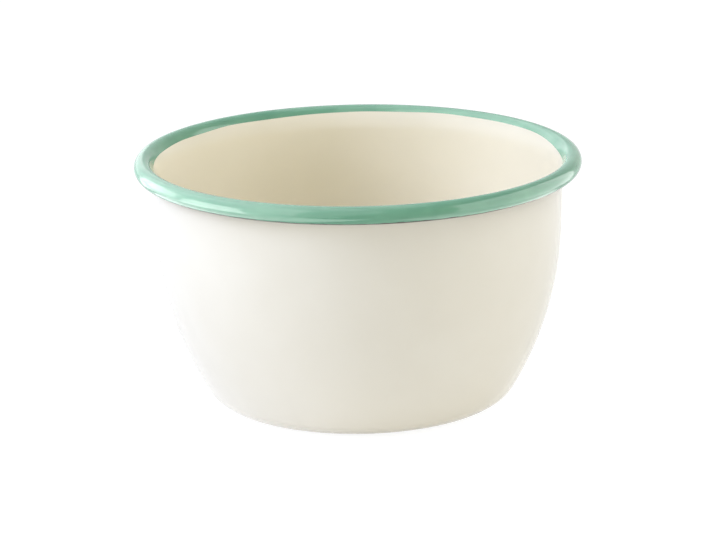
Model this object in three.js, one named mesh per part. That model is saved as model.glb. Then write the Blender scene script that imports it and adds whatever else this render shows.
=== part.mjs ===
// An enamelled steel bowl, in millimetres, +Z up, centred on the Z axis and standing on Z = 0.
// One steel sheet is drawn into the bowl and its edge is rolled outward into a bead. Glass enamel is
// fused to the sheet in thin coats: a dark ground coat on both faces, a cream cover coat inside and
// outside, and a green coat on the bead.

import * as THREE from 'three';

// Overall sizes, over the enamel
const RIM_DIAMETER = 160;
const HEIGHT = 89.5;
const BEAD_DIAMETER = 6.3;

// Outline of the outer face, from the bead down to the base
const LIP_FLARE = 1.9; // how far the lip sets the bead out from the line of the wall
const NECK_RADIUS = 12.5;
const WALL_LENGTH = 15.5;
const WALL_DRAFT_DEGREES = 1;
const BODY_RADIUS = 123;
const CORNER_RADIUS = 9.7;

// The sheet and its coats
const STEEL_THICKNESS = 0.7;
const GROUND_COAT = 0.12;
const COVER_COAT = 0.22;
const COAT_CLEARANCE = 0.02; // between each layer and the next

// Where the rolled edge and the green coat stop. Angles go round the bead, 0 outward and 90 up.
const CUT_EDGE_DEGREES = -135;
const GREEN_END_DEGREES = -72;
const GREEN_DEPTH_INSIDE = 2.5; // below the top of the bead

// Facets: around the axis, and along each stretch of the outline
const TURN_FACETS = 48;
const CORNER_FACETS = 4;
const BODY_FACETS = 5;
const NECK_FACETS = 2;
const LIP_FACETS = 1;
const CROWN_FACETS = 2;
const BEAD_SIDE_FACETS = 3;
const BEAD_UNDER_FACETS = 3;
const BARE_ROLL_FACETS = 2;

const CREAM = 0xf0ebd8;
const GREEN = 0x67a287;
const GROUND = 0x34362f;
const STEEL = 0x8d9093;

// Depth of each layer's outer side, counted from the outer face of the bowl towards its inside
const groundOutsideDepth = COVER_COAT + COAT_CLEARANCE;
const steelDepth = groundOutsideDepth + GROUND_COAT + COAT_CLEARANCE;
const groundInsideDepth = steelDepth + STEEL_THICKNESS + COAT_CLEARANCE;
const innerCoverDepth = groundInsideDepth + GROUND_COAT + COAT_CLEARANCE;
const wallDepth = innerCoverDepth + COVER_COAT;

// A station is a point of the outer face, as radius and height, with the direction to the inner face.
function arcStations(centre, radius, startAngle, endAngle, facets) {
  const side = Math.sign(startAngle - endAngle);
  const stations = [];
  for (let i = 0; i <= facets; i += 1) {
    const angle = THREE.MathUtils.lerp(startAngle, endAngle, i / facets);
    const spoke = new THREE.Vector2(Math.cos(angle), Math.sin(angle));
    const point = centre.clone().addScaledVector(spoke, radius);
    stations.push({ point, inward: spoke.multiplyScalar(side) });
  }
  return stations;
}

function lineStations(start, end, inward) {
  return [start, end].map((point) => ({ point, inward }));
}

// Stretches that follow one another share the station where they meet.
function joined(...stretches) {
  return stretches.flatMap((stretch, i) => (i === 0 ? stretch : stretch.slice(1)));
}

// The outer face runs from the centre of the base to the cut edge inside the roll. Each stretch is
// tangent to the next one.
function sheetOutline() {
  const draft = THREE.MathUtils.degToRad(WALL_DRAFT_DEGREES);
  const wallOut = new THREE.Vector2(Math.cos(draft), -Math.sin(draft));
  const wallUp = new THREE.Vector2(Math.sin(draft), Math.cos(draft));
  const wallIn = wallOut.clone().negate();
  const baseUp = new THREE.Vector2(0, 1);

  const beadRadius = BEAD_DIAMETER / 2;
  const beadCentre = new THREE.Vector2(RIM_DIAMETER / 2 - beadRadius, HEIGHT - beadRadius);
  const rollRadius = beadRadius - wallDepth;

  const neckToBead = NECK_RADIUS - rollRadius;
  const neckOut = neckToBead - LIP_FLARE;
  const neckDown = Math.sqrt(neckToBead ** 2 - neckOut ** 2);
  const neckCentre = beadCentre.clone()
    .addScaledVector(wallOut, neckOut)
    .addScaledVector(wallUp, -neckDown);
  const lipAngle = beadCentre.clone().sub(neckCentre).angle();
  const greenRise = HEIGHT - GREEN_DEPTH_INSIDE - neckCentre.y;
  const greenAngle = Math.PI - Math.asin(greenRise / (NECK_RADIUS + wallDepth));

  const wallTop = neckCentre.clone().addScaledVector(wallOut, -NECK_RADIUS);
  const wallFoot = wallTop.clone().addScaledVector(wallUp, -WALL_LENGTH);
  const bodyCentre = wallFoot.clone().addScaledVector(wallOut, -BODY_RADIUS);
  const cornerRise = CORNER_RADIUS - bodyCentre.y;
  const cornerOut = Math.sqrt((BODY_RADIUS - CORNER_RADIUS) ** 2 - cornerRise ** 2);
  const cornerCentre = new THREE.Vector2(bodyCentre.x + cornerOut, CORNER_RADIUS);
  const bodyAngle = Math.atan2(cornerRise, cornerOut);

  const baseCentre = new THREE.Vector2(0, 0);
  const baseEdge = new THREE.Vector2(cornerCentre.x, 0);
  const beadTop = Math.PI / 2;
  const beadOutermost = 0;
  const greenEnd = THREE.MathUtils.degToRad(GREEN_END_DEGREES);
  const cutEdge = THREE.MathUtils.degToRad(CUT_EDGE_DEGREES);
  return {
    base: lineStations(baseCentre, baseEdge, baseUp),
    corner: arcStations(cornerCentre, CORNER_RADIUS, -Math.PI / 2, bodyAngle, CORNER_FACETS),
    body: arcStations(bodyCentre, BODY_RADIUS, bodyAngle, -draft, BODY_FACETS),
    wall: lineStations(wallFoot, wallTop, wallIn),
    neck: arcStations(neckCentre, NECK_RADIUS, Math.PI - draft, greenAngle, NECK_FACETS),
    lip: arcStations(neckCentre, NECK_RADIUS, greenAngle, lipAngle, LIP_FACETS),
    crown: arcStations(beadCentre, rollRadius, lipAngle, beadTop, CROWN_FACETS),
    beadSide: arcStations(beadCentre, rollRadius, beadTop, beadOutermost, BEAD_SIDE_FACETS),
    beadUnder: arcStations(beadCentre, rollRadius, beadOutermost, greenEnd, BEAD_UNDER_FACETS),
    bareRoll: arcStations(beadCentre, rollRadius, greenEnd, cutEdge, BARE_ROLL_FACETS),
  };
}

// One layer: the band of the given thickness, at the given depth under the outer face, turned
// around the axis.
function layer(name, stations, depth, thickness, look) {
  const face = (at) => stations.map(({ point, inward }) => point.clone().addScaledVector(inward, at));
  const section = [...face(depth), ...face(depth + thickness).reverse()];
  const meetsAxis = stations[0].point.x === 0;
  if (!meetsAxis) {
    section.push(section[0].clone());
  }
  const geometry = new THREE.LatheGeometry(section, TURN_FACETS).rotateX(Math.PI / 2);
  const mesh = new THREE.Mesh(geometry, new THREE.MeshStandardMaterial(look));
  mesh.name = name;
  return mesh;
}

const outline = sheetOutline();
const vessel = joined(outline.base, outline.corner, outline.body, outline.wall, outline.neck);
const rim = joined(outline.lip, outline.crown, outline.beadSide, outline.beadUnder);
const wholeSheet = joined(vessel, rim, outline.bareRoll);

const creamLook = { color: CREAM, roughness: 0.15, metalness: 0 };
const greenLook = { color: GREEN, roughness: 0.15, metalness: 0 };
const groundLook = { color: GROUND, roughness: 0.35, metalness: 0 };
const steelLook = { color: STEEL, roughness: 0.4, metalness: 1 };

const bowl = new THREE.Group();
bowl.name = 'enamelled_bowl';
bowl.add(
  layer('steel_shell', wholeSheet, steelDepth, STEEL_THICKNESS, steelLook),
  layer('ground_coat_inside', wholeSheet, groundInsideDepth, GROUND_COAT, groundLook),
  layer('ground_coat_outside', vessel, groundOutsideDepth, GROUND_COAT, groundLook),
  layer('inside_enamel', vessel, innerCoverDepth, COVER_COAT, creamLook),
  layer('outside_enamel', vessel, 0, COVER_COAT, creamLook),
  layer('rim_enamel', rim, innerCoverDepth, COVER_COAT, greenLook),
);

export default bowl;
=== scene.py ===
# An enamelled steel bowl in metres, +Z up, centred on the Z axis and standing on Z = 0. Its layers are
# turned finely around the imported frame: the steel sheet, two dark ground coats, two cream cover coats
# and the green coat on the rolled rim.
import math

import bmesh
import bpy
from mathutils import Euler, Matrix, Vector, noise


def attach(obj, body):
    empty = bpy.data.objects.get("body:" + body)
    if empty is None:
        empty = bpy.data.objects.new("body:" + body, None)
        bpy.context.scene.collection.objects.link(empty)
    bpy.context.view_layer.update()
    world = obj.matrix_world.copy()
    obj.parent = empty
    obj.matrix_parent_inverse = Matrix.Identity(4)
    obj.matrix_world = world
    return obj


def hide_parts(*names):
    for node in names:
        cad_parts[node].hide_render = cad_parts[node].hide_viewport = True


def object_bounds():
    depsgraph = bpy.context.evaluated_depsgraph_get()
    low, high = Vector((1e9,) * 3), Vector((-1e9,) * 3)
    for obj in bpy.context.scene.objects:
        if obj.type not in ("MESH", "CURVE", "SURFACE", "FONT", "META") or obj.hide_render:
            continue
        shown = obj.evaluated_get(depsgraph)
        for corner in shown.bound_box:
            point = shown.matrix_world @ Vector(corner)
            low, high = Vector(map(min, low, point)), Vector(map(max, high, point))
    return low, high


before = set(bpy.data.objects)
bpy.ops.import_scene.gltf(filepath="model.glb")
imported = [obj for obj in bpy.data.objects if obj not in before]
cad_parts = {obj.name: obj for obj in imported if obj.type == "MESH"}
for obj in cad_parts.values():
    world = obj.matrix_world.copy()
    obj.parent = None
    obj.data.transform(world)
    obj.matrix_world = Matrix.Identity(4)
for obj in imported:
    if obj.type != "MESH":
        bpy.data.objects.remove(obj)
cad_low, cad_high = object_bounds()

MM = 0.001

# Outline of the outer face, from the bead down to the base, with the sizes of the solids
RIM_RADIUS = cad_high.x
HEIGHT = cad_high.z
BEAD_RADIUS = 3.15 * MM
LIP_FLARE = 1.9 * MM
NECK_RADIUS = 12.5 * MM
WALL_LENGTH = 15.5 * MM
WALL_DRAFT = math.radians(1)
BODY_RADIUS = 123 * MM
CORNER_RADIUS = 9.7 * MM

# The sheet and its coats
STEEL_THICKNESS = 0.7 * MM
GROUND_COAT = 0.12 * MM
COVER_COAT = 0.22 * MM
COAT_CLEARANCE = 0.02 * MM

# Ends of the rolled edge and of the green coat, as angles round the bead, 0 outward and 90 up
CUT_EDGE = math.radians(-135)
GREEN_END = math.radians(-72)

# Inner border of the green coat, which is level in the solids and here dips, runs and waves a little
GREEN_DEPTH_INSIDE = 2.7 * MM
GREEN_DIP = 0.9 * MM
GREEN_DIP_TOWARDS = math.radians(225)
GREEN_RUN = 1.5 * MM
GREEN_RUN_TOWARDS = math.radians(6)
GREEN_RUN_SPREAD = math.radians(16)
GREEN_WAVE = 0.35 * MM
GREEN_WAVE_LENGTH = 22 * MM

# Under the bead the green runs thin and the ground coat shows through, most at the front
THIN_GREEN_START = math.radians(-50)
THIN_GREEN_END = math.radians(-56)
THIN_GREEN_RISE_IN_FRONT = math.radians(5)
THIN_GREEN_WAVE = math.radians(6)
THIN_GREEN_WAVE_LENGTH = 5 * MM

# Steps around the axis and along each stretch of the outline
TURN_STEPS = 288
BASE_STEPS = 6
CORNER_STEPS = 10
BODY_STEPS = 24
WALL_STEPS = 4
NECK_STEPS = 8
LIP_STEPS = 4
CROWN_STEPS = 8
BEAD_SIDE_STEPS = 12
BEAD_UNDER_STEPS = 10
BARE_ROLL_STEPS = 6

# Edges turned by more than this stay sharp, and points this near to the axis are merged
SHARP_EDGE = math.radians(35)
AXIS_REACH = COAT_CLEARANCE / 10

# Depth of each layer's outer side, counted from the outer face of the bowl towards its inside
OUTER_COVER_DEPTH = 0
GROUND_OUTSIDE_DEPTH = COVER_COAT + COAT_CLEARANCE
STEEL_DEPTH = GROUND_OUTSIDE_DEPTH + GROUND_COAT + COAT_CLEARANCE
GROUND_INSIDE_DEPTH = STEEL_DEPTH + STEEL_THICKNESS + COAT_CLEARANCE
INNER_COVER_DEPTH = GROUND_INSIDE_DEPTH + GROUND_COAT + COAT_CLEARANCE
WALL_DEPTH = INNER_COVER_DEPTH + COVER_COAT

# Centre of the bead, as radius and height
BEAD_CENTRE = Vector((RIM_RADIUS - BEAD_RADIUS, HEIGHT - BEAD_RADIUS))

# Colours, linear
WHITE = (1, 1, 1)
CREAM = (0.83, 0.78, 0.66)
CREAM_THIN = (0.81, 0.758, 0.635)
# Painted light: the inside copy of the one cream enamel is lighter and yellower than the outside copy,
# standing in for the light and its bounce inside the bowl
CREAM_INSIDE_PAINTED_LIGHT = (0.915, 0.85, 0.69)
CREAM_INSIDE_PAINTED_LIGHT_THIN = (0.895, 0.83, 0.665)
GREEN = (0.148, 0.37, 0.225)
GREEN_THIN = (0.11, 0.315, 0.19)
GROUND = (0.035, 0.036, 0.029)
GROUND_PALE = (0.075, 0.075, 0.062)
STEEL = (0.30, 0.31, 0.32)
STEEL_DARK = (0.17, 0.17, 0.17)

# Soft noise: the range that most of it lies in, and its detail on glossy and on rough surfaces
NOISE_LOW = 0.3
NOISE_HIGH = 0.7
SOFT_DETAIL = 2
ROUGH_DETAIL = 4

# Cream enamel: sizes of the patches, range of roughness, and size and height of the flow and the grain
CREAM_TONE_SIZE = 26 * MM
CREAM_GLOSS_SIZE = 14 * MM
CREAM_ROUGHNESS = (0.13, 0.19)
CREAM_FLOW = (9 * MM, 0.02 * MM)
CREAM_GRAIN = (1.6 * MM, 0.0016 * MM)
CREAM_IOR = 1.52

# Green enamel, in the same order
GREEN_TONE_SIZE = 12 * MM
GREEN_GLOSS_SIZE = 7 * MM
GREEN_ROUGHNESS = (0.09, 0.15)
GREEN_FLOW = (6 * MM, 0.009 * MM)
GREEN_GRAIN = (1.2 * MM, 0.0012 * MM)
GREEN_IOR = 1.55

# Ground enamel, with a grain alone
GROUND_TONE_SIZE = 0.8 * MM
GROUND_GLOSS_SIZE = 3 * MM
GROUND_ROUGHNESS = (0.3, 0.45)
GROUND_GRAIN = (0.9 * MM, 0.008 * MM)
GROUND_IOR = 1.5

# Bare steel, with a grain alone
STEEL_TONE_SIZE = 1.2 * MM
STEEL_GLOSS_SIZE = 0.5 * MM
STEEL_ROUGHNESS = (0.35, 0.5)
STEEL_GRAIN = (0.4 * MM, 0.004 * MM)

# Camera, fitted to the photograph's 716 x 540 frame
IMAGE_WIDTH = 716
FOCAL_PIXELS = 3019.6
CAMERA_DISTANCE = 1.05
CAMERA_HEIGHT = 0.34449
CAMERA_PITCH = math.radians(15.8874)
CAMERA_YAW = math.radians(-0.0319)
CAMERA_ROLL = math.radians(-0.985)

# Floor and backdrop
FLOOR_SIZE = 12.0
FLOOR_WHITE = 0.95
FLOOR_SHADOW_SHARE = 0.2
FLOOR_GLOW = 0.9
FLOOR_GAP = 0.05 * MM
AMBIENT = 0.05

# Distance of the far lamps, and the colours of the light
FAR = 1.5
DAYLIGHT = (0.9, 0.98, 1.22)
WARM_LIGHT = (1.06, 1.02, 0.81)
WHITE_LIGHT = (0.98, 1.0, 1.04)

# Soft boxes: azimuth and elevation in degrees, width, height, brightness, distance and colour
SOFT_BOXES = {
    "left_box": (-88, 35, 1.5, 1.2, 2.8, FAR, DAYLIGHT),
    "left_front_box": (-70, 27, 1.2, 0.8, 3.0, FAR, DAYLIGHT),
    "front_box": (0, 12, 0.9, 0.8, 2.55, FAR, WARM_LIGHT),
    "right_box": (90, 28, 0.9, 1.6, 3.4, FAR, WHITE_LIGHT),
    "back_box": (160, 20, 1.2, 0.8, 2.2, FAR, WARM_LIGHT),
}

# White cards that show as reflections in the green rim alone, given in the same way without a colour.
# Some reach below the floor, which hides that part.
RIM_CARDS = {
    "left_card": (-77, 1, 0.91, 2.08, 2.2, 0.42),
    "left_spot_card": (-111, -30, 0.20, 0.65, 2.7, 0.26),
    "left_streak_card": (-69, -32, 0.16, 0.48, 5.2, 0.23),
    "left_high_card": (-76, 40, 6.3, 3.8, 1.2, FAR),
    "back_left_card": (-152, 49, 1.35, 4.1, 0.9, FAR),
    "left_front_card": (-21, -15, 0.36, 0.33, 4.0, 0.77),
    "right_card": (85, -6, 0.38, 0.48, 2.3, 0.22),
}

# White sheets for the rim that lie on the floor: azimuth, nearest and farthest edge, width and brightness
RIM_SHEETS = {
    "left_sheet": (-60, 0.08, 0.71, 0.34, 3.0),
    "right_sheet": (75, 0.06, 0.23, 0.23, 1.6),
}
SHEET_HEIGHT = 1 * MM


# The outline is a list of stations: points of the outer face, as radius and height, each with the
# direction from it to the inner face.
def arc(centre, radius, start, end, steps):
    """Stations along an arc. Where it runs clockwise, the inner face lies farther from the centre."""
    side = 1 if start > end else -1
    stations = []
    for i in range(steps + 1):
        angle = start + (end - start) * i / steps
        spoke = Vector((math.cos(angle), math.sin(angle)))
        stations.append((centre + spoke * radius, spoke * side))
    return stations


def line(start, end, inward, steps):
    return [(start.lerp(end, i / steps), inward) for i in range(steps + 1)]


def joined(*stretches):
    """One list of stations from stretches that each start where the last one ends."""
    stations = list(stretches[0])
    for stretch in stretches[1:]:
        stations += stretch[1:]
    return stations


def green_depth(turn):
    """How far below the top of the bead the green coat ends inside, at one angle around the axis."""
    reach = RIM_RADIUS / GREEN_WAVE_LENGTH
    wave = noise.noise((reach * math.cos(turn), reach * math.sin(turn), 0))
    from_run = math.remainder(turn - GREEN_RUN_TOWARDS, 2 * math.pi)
    run = math.exp(-((from_run / GREEN_RUN_SPREAD) ** 2))
    dip = math.cos(turn - GREEN_DIP_TOWARDS)
    return GREEN_DEPTH_INSIDE + GREEN_DIP * dip + GREEN_RUN * run + GREEN_WAVE * wave


def sheet_outline(turn):
    """The stretches of the outer face at one angle around the axis, from the base to the cut edge."""
    wall_out = Vector((math.cos(WALL_DRAFT), -math.sin(WALL_DRAFT)))
    wall_up = Vector((math.sin(WALL_DRAFT), math.cos(WALL_DRAFT)))
    roll_radius = BEAD_RADIUS - WALL_DEPTH

    neck_to_bead = NECK_RADIUS - roll_radius
    neck_out = neck_to_bead - LIP_FLARE
    neck_down = math.sqrt(neck_to_bead**2 - neck_out**2)
    neck_centre = BEAD_CENTRE + wall_out * neck_out - wall_up * neck_down
    from_neck = BEAD_CENTRE - neck_centre
    lip_angle = math.atan2(from_neck.y, from_neck.x)
    green_rise = HEIGHT - green_depth(turn) - neck_centre.y
    green_angle = math.pi - math.asin(green_rise / (NECK_RADIUS + WALL_DEPTH))

    wall_top = neck_centre - wall_out * NECK_RADIUS
    wall_foot = wall_top - wall_up * WALL_LENGTH
    body_centre = wall_foot - wall_out * BODY_RADIUS
    corner_rise = CORNER_RADIUS - body_centre.y
    corner_out = math.sqrt((BODY_RADIUS - CORNER_RADIUS) ** 2 - corner_rise**2)
    corner_centre = Vector((body_centre.x + corner_out, CORNER_RADIUS))
    body_angle = math.atan2(corner_rise, corner_out)

    base_centre = Vector((0, 0))
    base_edge = Vector((corner_centre.x, 0))
    base_up = Vector((0, 1))
    quarter = math.pi / 2
    return {
        "base": line(base_centre, base_edge, base_up, BASE_STEPS),
        "corner": arc(corner_centre, CORNER_RADIUS, -quarter, body_angle, CORNER_STEPS),
        "body": arc(body_centre, BODY_RADIUS, body_angle, -WALL_DRAFT, BODY_STEPS),
        "wall": line(wall_foot, wall_top, -wall_out, WALL_STEPS),
        "neck": arc(neck_centre, NECK_RADIUS, math.pi - WALL_DRAFT, green_angle, NECK_STEPS),
        "lip": arc(neck_centre, NECK_RADIUS, green_angle, lip_angle, LIP_STEPS),
        "crown": arc(BEAD_CENTRE, roll_radius, lip_angle, quarter, CROWN_STEPS),
        "bead_side": arc(BEAD_CENTRE, roll_radius, quarter, 0, BEAD_SIDE_STEPS),
        "bead_under": arc(BEAD_CENTRE, roll_radius, 0, GREEN_END, BEAD_UNDER_STEPS),
        "bare_roll": arc(BEAD_CENTRE, roll_radius, GREEN_END, CUT_EDGE, BARE_ROLL_STEPS),
    }


# The stretches that the layers cover
VESSEL = ("base", "corner", "body", "wall", "neck")
RIM = ("lip", "crown", "bead_side", "bead_under")
WHOLE_SHEET = VESSEL + RIM + ("bare_roll",)


def layer(name, stretches, depth, thickness, material):
    """A thin closed solid: the band at that depth under the outer face, turned around the axis."""
    vertices = []
    for k in range(TURN_STEPS):
        turn = 2 * math.pi * k / TURN_STEPS
        outline = sheet_outline(turn)
        stations = joined(*[outline[stretch] for stretch in stretches])
        outer = [point + inward * depth for point, inward in stations]
        inner = [point + inward * (depth + thickness) for point, inward in stations]
        for radius, height in outer + inner[::-1]:
            vertices.append((radius * math.cos(turn), radius * math.sin(turn), height))

    ring = len(vertices) // TURN_STEPS
    faces = []
    for k in range(TURN_STEPS):
        here = k * ring
        there = (k + 1) % TURN_STEPS * ring
        for i in range(ring):
            j = (i + 1) % ring
            faces.append((here + i, there + i, there + j, here + j))

    mesh = bpy.data.meshes.new(name)
    mesh.from_pydata(vertices, [], faces)
    close_poles(mesh)
    mesh.shade_smooth()
    mesh.set_sharp_from_angle(angle=SHARP_EDGE)
    mesh.materials.append(material)
    piece = bpy.data.objects.new(name, mesh)
    bpy.context.scene.collection.objects.link(piece)
    return piece


def close_poles(mesh):
    """Merges the points that fall together on the axis, and drops the edges that are left loose there."""
    work = bmesh.new()
    work.from_mesh(mesh)
    on_axis = [v for v in work.verts if v.co.xy.length < AXIS_REACH]
    bmesh.ops.remove_doubles(work, verts=on_axis, dist=AXIS_REACH)
    loose = [edge for edge in work.edges if not edge.link_faces]
    bmesh.ops.delete(work, geom=loose, context="EDGES")
    bmesh.ops.recalc_face_normals(work, faces=work.faces)
    work.to_mesh(mesh)
    work.free()


class Nodes:
    """The node tree of a material or of the world, with short ways to add and join nodes."""

    def __init__(self, owner):
        owner.use_nodes = True
        self.tree = owner.node_tree
        self.tree.nodes.clear()

    def add(self, kind, inputs=None, **settings):
        """A new node, with each input in the dictionary set to a value or joined to a socket."""
        node = self.tree.nodes.new(kind)
        for key, value in settings.items():
            setattr(node, key, value)
        for key, value in (inputs or {}).items():
            if isinstance(value, bpy.types.NodeSocket):
                self.tree.links.new(value, node.inputs[key])
            else:
                node.inputs[key].default_value = value
        return node

    def place(self):
        return self.add("ShaderNodeTexCoord").outputs["Object"]

    def math(self, operation, first, second=0.0):
        return self.add("ShaderNodeMath", {0: first, 1: second}, operation=operation).outputs[0]

    def spread(self, value, low, high, to_low=0.0, to_high=1.0):
        """The value carried from one range to another, and held at its ends."""
        inputs = {0: value, 1: low, 2: high, 3: to_low, 4: to_high}
        return self.add("ShaderNodeMapRange", inputs).outputs[0]

    def patches(self, size, to_low=0.0, to_high=1.0, detail=SOFT_DETAIL):
        """Soft noise with features of about that size, between the two values."""
        inputs = {"Vector": self.place(), "Scale": 1 / size, "Detail": detail}
        pattern = self.add("ShaderNodeTexNoise", inputs).outputs["Fac"]
        return self.spread(pattern, NOISE_LOW, NOISE_HIGH, to_low, to_high)

    def mix(self, share, first, second):
        inputs = {"Factor": share, "A": first, "B": second}
        return self.add("ShaderNodeMix", inputs, data_type="RGBA").outputs["Result"]

    def bump(self, size, height, under=None, detail=SOFT_DETAIL):
        """Waves of about that size and height, on top of those under them."""
        inputs = {"Height": self.patches(size, detail=detail), "Distance": height}
        if under:
            inputs["Normal"] = under
        return self.add("ShaderNodeBump", inputs).outputs["Normal"]

    def surface(self, colour, roughness, normal, **constants):
        inputs = {"Base Color": colour, "Roughness": roughness, "Normal": normal, **constants}
        self.output(self.add("ShaderNodeBsdfPrincipled", inputs).outputs[0])

    def output(self, shader, kind="ShaderNodeOutputMaterial"):
        self.add(kind, {"Surface": shader})

    def shown(self):
        """1 for the rays that show the background: from the camera, and on from gloss or glass."""
        path = self.add("ShaderNodeLightPath").outputs
        glossy = self.math("MAXIMUM", path["Is Camera Ray"], path["Is Glossy Ray"])
        return self.math("MAXIMUM", glossy, path["Is Transmission Ray"])


def opaque(colour):
    return (*colour, 1)


def grey(level):
    return (level, level, level, 1)


def cream_enamel(name, thick, thin):
    material = bpy.data.materials.new(name)
    n = Nodes(material)
    colour = n.mix(n.patches(CREAM_TONE_SIZE), opaque(thick), opaque(thin))
    roughness = n.patches(CREAM_GLOSS_SIZE, *CREAM_ROUGHNESS)
    normal = n.bump(*CREAM_GRAIN, under=n.bump(*CREAM_FLOW))
    n.surface(colour, roughness, normal, IOR=CREAM_IOR)
    return material


def green_enamel():
    material = bpy.data.materials.new("green_enamel")
    n = Nodes(material)
    green_tone = n.mix(n.patches(GREEN_TONE_SIZE), opaque(GREEN), opaque(GREEN_THIN))
    colour = n.mix(thin_green(n), green_tone, opaque(GROUND))
    roughness = n.patches(GREEN_GLOSS_SIZE, *GREEN_ROUGHNESS)
    normal = n.bump(*GREEN_GRAIN, under=n.bump(*GREEN_FLOW))
    n.surface(colour, roughness, normal, IOR=GREEN_IOR)
    return material


def thin_green(n):
    """How far the ground coat shows through the green, from 0 on the bead to 1 at its lower edge."""
    x, y, z = n.add("ShaderNodeSeparateXYZ", {0: n.place()}).outputs
    radius = n.math("SQRT", n.math("ADD", n.math("MULTIPLY", x, x), n.math("MULTIPLY", y, y)))
    out = n.math("SUBTRACT", radius, BEAD_CENTRE.x)
    up = n.math("SUBTRACT", z, BEAD_CENTRE.y)
    angle = n.math("ARCTAN2", up, out)
    rise = THIN_GREEN_RISE_IN_FRONT
    in_front = n.spread(y, -RIM_RADIUS, RIM_RADIUS, -rise, rise)
    wave = n.patches(THIN_GREEN_WAVE_LENGTH, -THIN_GREEN_WAVE, THIN_GREEN_WAVE)
    angle = n.math("ADD", n.math("ADD", angle, in_front), wave)
    outer_side = n.math("GREATER_THAN", out, 0.0)
    return n.math("MULTIPLY", outer_side, n.spread(angle, THIN_GREEN_START, THIN_GREEN_END))


def ground_enamel():
    material = bpy.data.materials.new("ground_enamel")
    n = Nodes(material)
    speckle = n.patches(GROUND_TONE_SIZE, detail=ROUGH_DETAIL)
    colour = n.mix(speckle, opaque(GROUND), opaque(GROUND_PALE))
    roughness = n.patches(GROUND_GLOSS_SIZE, *GROUND_ROUGHNESS)
    normal = n.bump(*GROUND_GRAIN, detail=ROUGH_DETAIL)
    n.surface(colour, roughness, normal, IOR=GROUND_IOR)
    return material


def bare_steel():
    material = bpy.data.materials.new("bare_steel")
    n = Nodes(material)
    stain = n.patches(STEEL_TONE_SIZE, detail=ROUGH_DETAIL)
    colour = n.mix(stain, opaque(STEEL), opaque(STEEL_DARK))
    roughness = n.patches(STEEL_GLOSS_SIZE, *STEEL_ROUGHNESS, detail=ROUGH_DETAIL)
    normal = n.bump(*STEEL_GRAIN, detail=ROUGH_DETAIL)
    n.surface(colour, roughness, normal, Metallic=1.0)
    return material


def white_floor():
    """White where it is seen, with a share of the shadow kept, and plain matt for all other rays."""
    material = bpy.data.materials.new("floor")
    n = Nodes(material)
    matt = n.add("ShaderNodeBsdfDiffuse", {"Color": grey(FLOOR_WHITE)}).outputs[0]
    shaded = n.add("ShaderNodeBsdfDiffuse", {"Color": grey(FLOOR_SHADOW_SHARE)}).outputs[0]
    glow = n.add("ShaderNodeEmission", {"Strength": FLOOR_GLOW}).outputs[0]
    seen = n.add("ShaderNodeAddShader", {0: shaded, 1: glow}).outputs[0]
    n.output(n.add("ShaderNodeMixShader", {0: n.shown(), 1: matt, 2: seen}).outputs[0])
    return material


def add_floor():
    """A wide floor, just under the base so that the two faces don't fall together."""
    mesh = bpy.data.meshes.new("floor")
    reach = FLOOR_SIZE / 2
    corners = [(-reach, -reach), (reach, -reach), (reach, reach), (-reach, reach)]
    mesh.from_pydata([(*corner, -FLOOR_GAP) for corner in corners], [], [(0, 1, 2, 3)])
    mesh.materials.append(white_floor())
    floor = bpy.data.objects.new("floor", mesh)
    bpy.context.scene.collection.objects.link(floor)


def add_world():
    """White where it is seen, and a faint even light for all other rays."""
    world = bpy.data.worlds.new("studio")
    bpy.context.scene.world = world
    n = Nodes(world)
    strength = n.spread(n.shown(), 0, 1, AMBIENT, 1)
    background = n.add("ShaderNodeBackground", {"Color": opaque(WHITE), "Strength": strength})
    n.output(background.outputs[0], "ShaderNodeOutputWorld")


def area_lamp(name, width, height, brightness, colour=WHITE):
    """A rectangular lamp. Its power grows with its area, so its face is equally bright at any size."""
    data = bpy.data.lights.new(name, "AREA")
    data.shape = "RECTANGLE"
    data.size = width
    data.size_y = height
    data.energy = brightness * math.pi * width * height
    data.color = colour
    lamp = bpy.data.objects.new(name, data)
    lamp.visible_camera = False
    bpy.context.scene.collection.objects.link(lamp)
    return lamp


def towards(azimuth, elevation=0.0):
    """A direction from its azimuth, 0 towards the camera and 90 to its right, and its elevation."""
    a = math.radians(azimuth)
    e = math.radians(elevation)
    return Vector((math.sin(a) * math.cos(e), -math.cos(a) * math.cos(e), math.sin(e)))


def facing_lamp(name, azimuth, elevation, width, height, brightness, distance, colour=WHITE):
    """A lamp that faces the middle of the bowl's mouth."""
    lamp = area_lamp(name, width, height, brightness, colour)
    direction = towards(azimuth, elevation)
    lamp.location = direction * distance + Vector((0, 0, HEIGHT))
    lamp.rotation_euler = direction.to_track_quat("Z", "Y").to_euler()
    return lamp


def floor_lamp(name, azimuth, near, far, width, brightness):
    """A lamp that lies on the floor and faces up."""
    lamp = area_lamp(name, width, far - near, brightness)
    outward = towards(azimuth)
    down = Vector((0, 0, -1))
    lamp.location = outward * (near + far) / 2 - down * SHEET_HEIGHT
    lamp.rotation_euler = Matrix((outward.cross(down), outward, down)).transposed().to_euler()
    return lamp


def add_lights(rim_piece):
    """Soft boxes that light the whole bowl, and cards and sheets that only the green rim reflects."""
    for name, setting in SOFT_BOXES.items():
        facing_lamp(name, *setting).visible_glossy = False

    rim_only = bpy.data.collections.new("rim_only")
    rim_only.objects.link(rim_piece)
    cards = [facing_lamp(name, *setting) for name, setting in RIM_CARDS.items()]
    cards += [floor_lamp(name, *setting) for name, setting in RIM_SHEETS.items()]
    for card in cards:
        card.visible_diffuse = False
        card.light_linking.receiver_collection = rim_only


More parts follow.
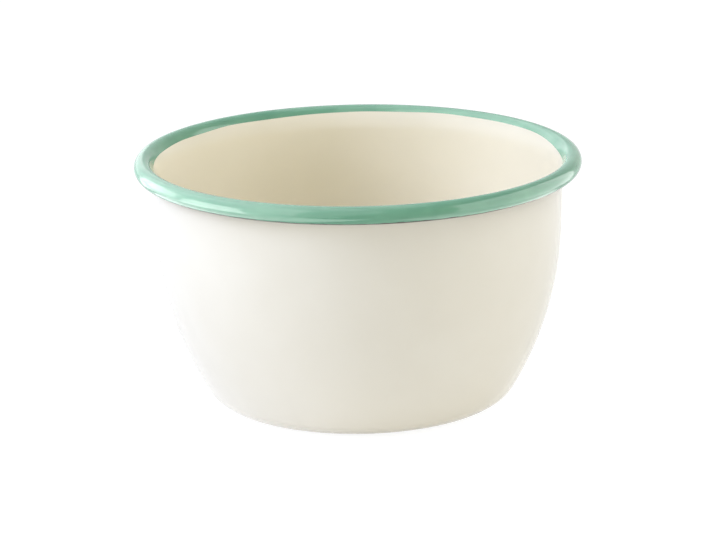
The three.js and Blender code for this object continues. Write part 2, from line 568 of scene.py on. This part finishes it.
def add_camera():
    data = bpy.data.cameras.new("camera")
    data.lens = FOCAL_PIXELS / IMAGE_WIDTH * data.sensor_width
    camera = bpy.data.objects.new("camera", data)
    place = Matrix.Translation((0, -CAMERA_DISTANCE, CAMERA_HEIGHT))
    aim = Euler((math.pi / 2 - CAMERA_PITCH, 0, -CAMERA_YAW)).to_matrix().to_4x4()
    camera.matrix_world = place @ aim @ Matrix.Rotation(CAMERA_ROLL, 4, "Z")
    bpy.context.scene.collection.objects.link(camera)
    bpy.context.scene.camera = camera


steel = bare_steel()
ground = ground_enamel()
cream_outside = cream_enamel("cream_enamel_outside", CREAM, CREAM_THIN)
# The inside copy of the cream carries painted light: lighter and yellower than the outside copy
cream_inside_painted_light = cream_enamel("cream_enamel_inside_painted_light", CREAM_INSIDE_PAINTED_LIGHT, CREAM_INSIDE_PAINTED_LIGHT_THIN)
green = green_enamel()

# The pieces, each with its stretches of the outline, depth, thickness and material
LAYERS = {
    "steel_body": (WHOLE_SHEET, STEEL_DEPTH, STEEL_THICKNESS, steel),
    "inner_ground_coat": (WHOLE_SHEET, GROUND_INSIDE_DEPTH, GROUND_COAT, ground),
    "outer_ground_coat": (VESSEL, GROUND_OUTSIDE_DEPTH, GROUND_COAT, ground),
    # The inside coat takes the cream copy with painted light
    "inner_cream_coat": (VESSEL, INNER_COVER_DEPTH, COVER_COAT, cream_inside_painted_light),
    "outer_cream_coat": (VESSEL, OUTER_COVER_DEPTH, COVER_COAT, cream_outside),
    "green_rim_coat": (RIM, INNER_COVER_DEPTH, COVER_COAT, green),
}

# The node that each piece replaces, and its slot
NODES_AND_SLOTS = {
    "steel_body": ("steel_shell", "steel"),
    "inner_ground_coat": ("ground_coat_inside", "ground_enamel"),
    "outer_ground_coat": ("ground_coat_outside", "ground_enamel"),
    "inner_cream_coat": ("inside_enamel", "cream_enamel"),
    "outer_cream_coat": ("outside_enamel", "cream_enamel"),
    "green_rim_coat": ("rim_enamel", "green_enamel"),
}

pieces = {}
for piece_name, setting in LAYERS.items():
    piece = layer(piece_name, *setting)
    pieces[piece_name] = piece
    node, slot = NODES_AND_SLOTS[piece_name]
    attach(piece, "root")
    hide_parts(node)

add_camera()
add_floor()
add_world()
add_lights(pieces["green_rim_coat"])
bpy.context.scene.view_settings.view_transform = "Standard"
